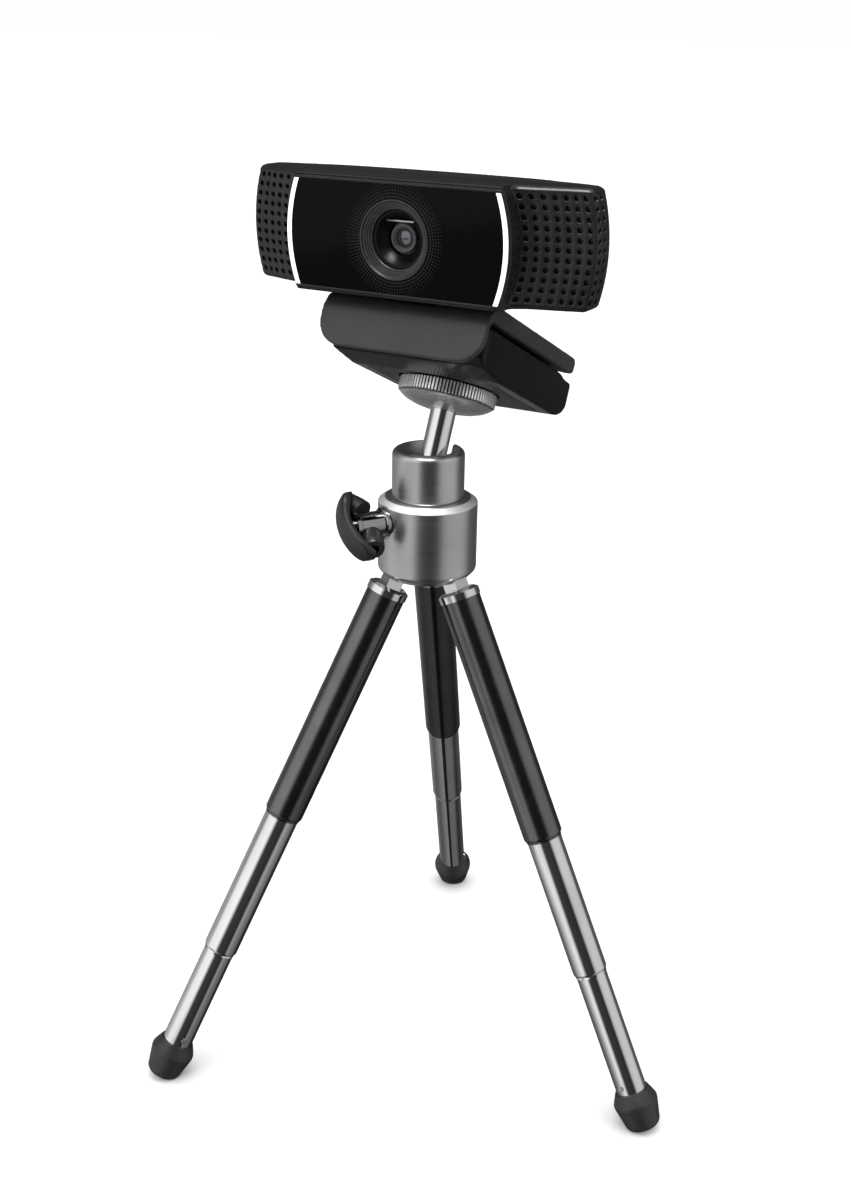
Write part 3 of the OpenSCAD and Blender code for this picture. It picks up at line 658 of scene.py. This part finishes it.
# lens: stepped ring, hood with a straight upper edge, barrel and front element
FACING = CAM @ Matrix.Rotation(math.radians(90), 4, "X")
verts, faces = lathe([
    (9.38, -2.2), (9.38, 0.0), (9.34, 0.1), (9.2, 0.16), (9.0, 0.14), (8.86, 0.02), (8.7, -0.1),
    (8.66, -0.3), (8.3, -0.34), (8.24, -0.5), (8.2, -0.7), (7.9, -0.74), (7.84, -0.9), (7.8, -1.1),
    (7.5, -1.16), (7.44, -1.3), (7.4, -1.55), (7.1, -1.6), (7.0, -1.7), (6.95, -1.95), (6.95, -3.3),
    (8.3, -3.3), (8.3, -2.2), (9.38, -2.2)])
build("lens_rings", verts, faces, FACING, LENS_BLACK, "camera", ("lens_ring",), sharp=30)
verts, faces = lathe([
    (6.9, -3.3), (6.9, -2.5), (6.75, -2.4), (6.3, -2.42), (6.25, -2.6), (5.6, -3.1), (4.2, -4.6),
    (4.0, -4.9), (3.9, -5.9), (6.9, -5.9), (6.9, -3.3)])
build("lens_hood_cone", verts, faces, FACING, GLOSS, "camera", ("lens_hood",), sharp=30)
verts, faces = lathe([
    (3.45, -12), (3.45, -4.75), (3.3, -4.6), (2.95, -4.6), (2.9, -4.75), (2.75, -4.8), (2.7, -5.0),
    (2.45, -5.1), (2.3, -5.3), (2.3, -6.2), (1.6, -6.2), (1.6, -12), (3.45, -12)])
build("lens_tube", verts, faces, FACING, BARREL, "camera", ("lens_barrel",), sharp=30)
GLASS_R = 2.28
dome = [(GLASS_R * k / 10, -5.3 - 0.1 * (GLASS_R * k / 10) ** 2) for k in range(10, -1, -1)]
verts, faces = lathe([(GLASS_R, -6.2)] + dome + [(0, -6.2)])
build("lens_front", verts, faces, FACING, GLASS, "camera", ("lens_glass",), sharp=40)

BAR_UP = 4.1                     # height of the hood's bar over the lens's middle


def hood_edge():
    """The straight upper edge of the hood's window, a thin bar across the cone."""
    ends = []
    for x, h in ((-3.7, 0.13), (-3.5, 0.2), (3.5, 0.2), (3.7, 0.13)):
        ends.append([(x, 3.0, BAR_UP - h), (x, 2.9, BAR_UP), (x, 3.0, BAR_UP + h),
                     (x, 3.5, BAR_UP + h), (x, 3.5, BAR_UP - h)])
    verts = [v for end in ends for v in end]
    return verts, grid_faces(5, 4) + [(4, 3, 2, 1, 0), (15, 16, 17, 18, 19)]


verts, faces = hood_edge()
build("hood_edge", verts, faces, CAM, STEEL, "camera", (), sharp=30)

# ---------------------------------------------------------------- clip and knob
soften("clip_arm_moulded", "clip_arm", LIP, "clip_arm", 0.35)
soften("clip_foot_moulded", "clip_foot", CLIP_PLASTIC, "clip_foot", 0.35)

ARM_DIP = math.radians(42)       # how far the knob's plate is turned down from level
PLATE_HALF_LEN, PLATE_HALF_W = 9.6, 3.4
PLATE_OUT, PLATE_BOW = 25.0, 3.0   # outer face's distance from the hub's axis, and its bow
LOBE_END = Vector((4.06, 7.63, 19.8))
LOBE_WAY = Vector((0.259, 0.908, 0.33)).normalized()


def knob_plate():
    """The bowed bar on the knob's outside, thicker and narrower towards its two ends."""
    verts, steps, around = [], 28, 20
    for k in range(steps + 1):
        t = -1 + 2 * k / steps
        end = math.sqrt(max(0.0, 1 - abs(t) ** 6))
        half_w, thick = PLATE_HALF_W * (0.35 + 0.65 * end), 2.2 + 1.6 * t * t
        middle = PLATE_OUT - PLATE_BOW * t * t - thick / 2
        y = PLATE_HALF_LEN * t
        for j in range(around):
            a = 2 * math.pi * j / around
            cx, cz = math.cos(a), math.sin(a)
            x = half_w * math.copysign(abs(cx) ** 0.5, cx)
            z = middle + thick / 2 * (0.55 + 0.45 * end) * math.copysign(abs(cz) ** 0.5, cz)
            c, s = math.cos(ARM_DIP), math.sin(ARM_DIP)
            verts.append((x * c + y * s, y * c - x * s, z))
    faces = grid_faces(around, steps + 1)
    faces += [tuple(range(around)), tuple(reversed(range(steps * around, (steps + 1) * around)))]
    return verts, faces


def knob_piece():
    """The plate with a round lobe on each side of the screw, hollow at its end."""
    verts, faces = knob_plate()
    lobe, sides = lathe([(0, -5.6), (3.1, -5.6), (3.1, -3.5), (2.85, -0.5), (2.6, 0), (1.4, 0), (1.3, -1.7),
                         (0, -1.7)], 48)
    across = LOBE_WAY.cross(Vector((0, 0, 1))).normalized()
    along = LOBE_WAY.cross(across)
    for way in (-1, 1):
        start = len(verts)
        for x, y, h in lobe:
            at = LOBE_END + across * x + along * y + LOBE_WAY * h
            verts.append((way * at.x, way * at.y, at.z))
        faces += [tuple(start + i for i in f) for f in sides]
    return verts, faces


verts, faces = knob_piece()
build("lock_wing", verts, faces, KNOB, KNOB_PLASTIC, "knob", ("lock_knob",))

TEETH, TOOTH_DEPTH = 90, 0.45
PLATFORM_H, PLATFORM_CHAMFER = 3.5, 0.3


def platform_piece():
    """The knurled disc: square-cut teeth round its rim, and a shallow bowl under them."""
    rows = []
    for height, chamfer in ((-PLATFORM_H, PLATFORM_CHAMFER), (0.25 - PLATFORM_H, 0.0),
                            (-0.25, 0.0), (0.0, PLATFORM_CHAMFER)):
        row = []
        for k in range(TEETH):
            for turn, depth in ((-0.3, 0), (0.2, 0), (0.3, TOOTH_DEPTH), (0.6, TOOTH_DEPTH)):
                a = 2 * math.pi * (k + turn) / TEETH
                r = PLATFORM_R - max(depth, chamfer)
                row.append((r * math.cos(a), r * math.sin(a), height))
        rows.append(row)
    n = len(rows[0])
    bowl = [(-0.85, -4.0), (-1.3, -4.35), (-2.6, -5.1), (-4.8, -5.85), (-7.2, -6.3), (-8.6, -6.4)]
    under = [[((PLATFORM_R + d) * x / math.hypot(x, y), (PLATFORM_R + d) * y / math.hypot(x, y), h)
              for x, y, _ in rows[0]] for d, h in reversed(bowl)]
    rows = under + rows
    verts = [v for row in rows for v in row] + [(0, 0, -6.4), (0, 0, 0)]
    faces = grid_faces(n, len(rows))
    last = (len(rows) - 1) * n
    for k in range(n):
        faces.append((len(verts) - 2, (k + 1) % n, k))
        faces.append((len(verts) - 1, last + k, last + (k + 1) % n))
    return verts, faces


verts, faces = platform_piece()
build("knurled_platform", verts, faces, CLIP, KNURLED, "ball_head", ("platform_disc",),
      sharp=25)

# ---------------------------------------------------------------- stage, light and camera
bpy.context.scene.view_settings.view_transform = "Standard"
PALE = Mat("pale_floor", (0.93, 0.93, 0.93), 0.9)
PALE.color(PALE.ramp(PALE.noise(6, 2), [(0.3, (0.9, 0.9, 0.9)), (0.7, (0.92, 0.92, 0.92))]))
WALL = Mat("pale_wall", (0, 0, 0), 1.0, Emission_Strength=1.0)
WALL.link(WALL.ramp(WALL.noise(0.5, 2), [(0.3, 0.97), (0.7, 0.99)]), WALL.p.inputs["Emission Color"])


def stage_piece(name, rings, material):
    """A round surface of the set, which doesn't show in reflections."""
    verts, faces = lathe(rings, 64)
    mesh = bpy.data.meshes.new(name)
    mesh.from_pydata(verts, [], faces)
    ob = bpy.data.objects.new(name, mesh)
    bpy.context.scene.collection.objects.link(ob)
    mesh.materials.append(material)
    ob.visible_glossy = False
    return ob


stage_piece("floor", [(0, -0.0002), (0.5, -0.0002), (3, -0.0002), (20, -0.0002)], PALE.mat)
backdrop = stage_piece("backdrop", [(19, -0.0001), (19.5, 0.5), (19.8, 2), (20, 8)], WALL.mat)
backdrop.visible_diffuse = False
backdrop.visible_shadow = False


def studio_world():
    """A soft box on each side, dark in front and behind, pale above and on the floor round about."""
    world = bpy.data.worlds.new("studio")
    bpy.context.scene.world = world
    world.use_nodes = True
    t = world.node_tree

    def node(kind, inputs, **props):
        n = t.nodes.new(kind)
        for k, v in props.items():
            setattr(n, k, v)
        for slot, v in inputs.items():
            if isinstance(v, (int, float)):
                n.inputs[slot].default_value = v
            else:
                t.links.new(v, n.inputs[slot])
        return n

    def ramp(fac, stops):
        n = node("ShaderNodeValToRGB", {0: fac})
        while len(n.color_ramp.elements) < len(stops):
            n.color_ramp.elements.new(0.5)
        for el, (at, c) in zip(n.color_ramp.elements, stops):
            el.position, el.color = (at + 180) / 360, (c, c, c, 1)
        return n.outputs["Color"]

    def times(a, b):
        return node("ShaderNodeMath", {0: a, 1: b}, operation="MULTIPLY").outputs[0]

    def step(value, lo, hi, a, b):
        return node("ShaderNodeMapRange", {0: value, 1: lo, 2: hi, 3: a, 4: b},
                    interpolation_type="SMOOTHSTEP").outputs[0]

    direction = t.nodes.new("ShaderNodeTexCoord").outputs["Generated"]
    xyz = node("ShaderNodeSeparateXYZ", {0: direction}).outputs
    behind = node("ShaderNodeMath", {0: xyz["Y"], 1: -1.0}, operation="MULTIPLY").outputs[0]
    turn = node("ShaderNodeMath", {0: xyz["X"], 1: behind}, operation="ARCTAN2").outputs[0]
    part = node("ShaderNodeMapRange", {0: turn, 1: -math.pi, 2: math.pi, 3: 0.0, 4: 1.0}).outputs[0]
    # degrees round from the front, minus to the left
    sides = ramp(part, [(-180, 0.06), (-150, 0.07), (-105, 0.3), (-84, 1.0), (-38, 1.15),
                        (-20, 0.05), (26, 0.03),
                        (40, 0.60), (60, 0.72), (96, 0.66), (114, 0.08), (180, 0.06)])
    ground = ramp(part, [(-180, 0.25), (-120, 0.4), (-84, 0.85), (-38, 1.0),
                         (-20, 0.05), (26, 0.03), (40, 0.55),
                         (92, 0.58), (112, 0.1), (150, 0.1), (180, 0.25)])
    low, high = step(xyz["Z"], -0.16, -0.02, 1.0, 0.0), step(xyz["Z"], 0.58, 0.84, 0.0, 1.0)
    mix = node("ShaderNodeMix", {"Factor": low}, data_type="RGBA")
    t.links.new(sides, mix.inputs[6])
    t.links.new(ground, mix.inputs[7])
    top = node("ShaderNodeMix", {"Factor": high}, data_type="RGBA")
    t.links.new(mix.outputs[2], top.inputs[6])
    top.inputs[7].default_value = (0.7, 0.7, 0.7, 1)
    t.links.new(top.outputs[2], t.nodes["Background"].inputs["Color"])

    # darker under the object, brighter straight above, and a dark band low on the left for the panel
    under = step(xyz["Z"], -0.8, -0.38, 0.25, 1.0)
    ceiling = step(xyz["Z"], 0.86, 0.96, 1.0, 1.6)
    lean = node("ShaderNodeMath", {0: turn, 1: 0.166, 2: 0.171}, operation="MULTIPLY_ADD").outputs[0]
    edge = node("ShaderNodeMath", {0: xyz["Z"], 1: lean}, operation="SUBTRACT").outputs[0]
    inside = times(step(turn, -1.5, -1.35, 0.0, 1.0), step(turn, -0.76, -0.66, 1.0, 0.0))
    inside = times(inside, step(xyz["Z"], -0.4, -0.26, 0.0, 1.0))
    shade = times(inside, step(edge, -0.136, -0.128, 0.6, 0.0))
    light = node("ShaderNodeMath", {0: 1.0, 1: shade}, operation="SUBTRACT").outputs[0]
    t.links.new(times(light, times(under, ceiling)), t.nodes["Background"].inputs["Strength"])


studio_world()


def softbox(name, location, target, size, power, glossy=False):
    """A square lamp that lights either dull surfaces or, as an edge light, shiny ones."""
    data = bpy.data.lights.new(name, "AREA")
    data.size = size
    data.energy = power
    ob = bpy.data.objects.new(name, data)
    bpy.context.scene.collection.objects.link(ob)
    ob.location = location
    ob.rotation_euler = (Vector(target) - Vector(location)).to_track_quat("-Z", "Y").to_euler()
    ob.visible_glossy = glossy
    ob.visible_diffuse = not glossy


sun = bpy.data.lights.new("overhead", "SUN")
sun.energy, sun.angle = 2.6, math.radians(110)
overhead = bpy.data.objects.new("overhead", sun)
bpy.context.scene.collection.objects.link(overhead)
overhead.visible_glossy = False
softbox("front_left", (-0.7, -0.6, 0.5), (0, 0, 0.17), 0.4, 1.6)
softbox("front_right", (0.8, -0.5, 0.5), (0, 0, 0.17), 0.4, 1.0)

# a lamp that only shines back from polished edges
softbox("edge_light", (-0.05, -0.3, 1.1), (0, -0.02, 0.2), 0.45, 12.0, glossy=True)

PITCH, ROLL = math.radians(21.41), math.radians(0.97)
EYE_RIGHT, EYE_BACK, EYE_UP = 0.00072, 0.37257, 0.27862   # from the hub's axis and the floor
camera_data = bpy.data.cameras.new("camera")
camera_data.sensor_width = 36
camera_data.lens = 45
camera_data.shift_x = -0.00289167
camera_data.clip_start = 0.01
camera = bpy.data.objects.new("camera", camera_data)
bpy.context.scene.collection.objects.link(camera)
camera.matrix_world = (Matrix.Translation((HUB_XY.x + EYE_RIGHT, HUB_XY.y - EYE_BACK, EYE_UP))
                       @ Matrix.Rotation(math.radians(90) - PITCH, 4, "X") @ Matrix.Rotation(ROLL, 4, "Z"))
bpy.context.scene.camera = camera

bpy.context.view_layer.update()
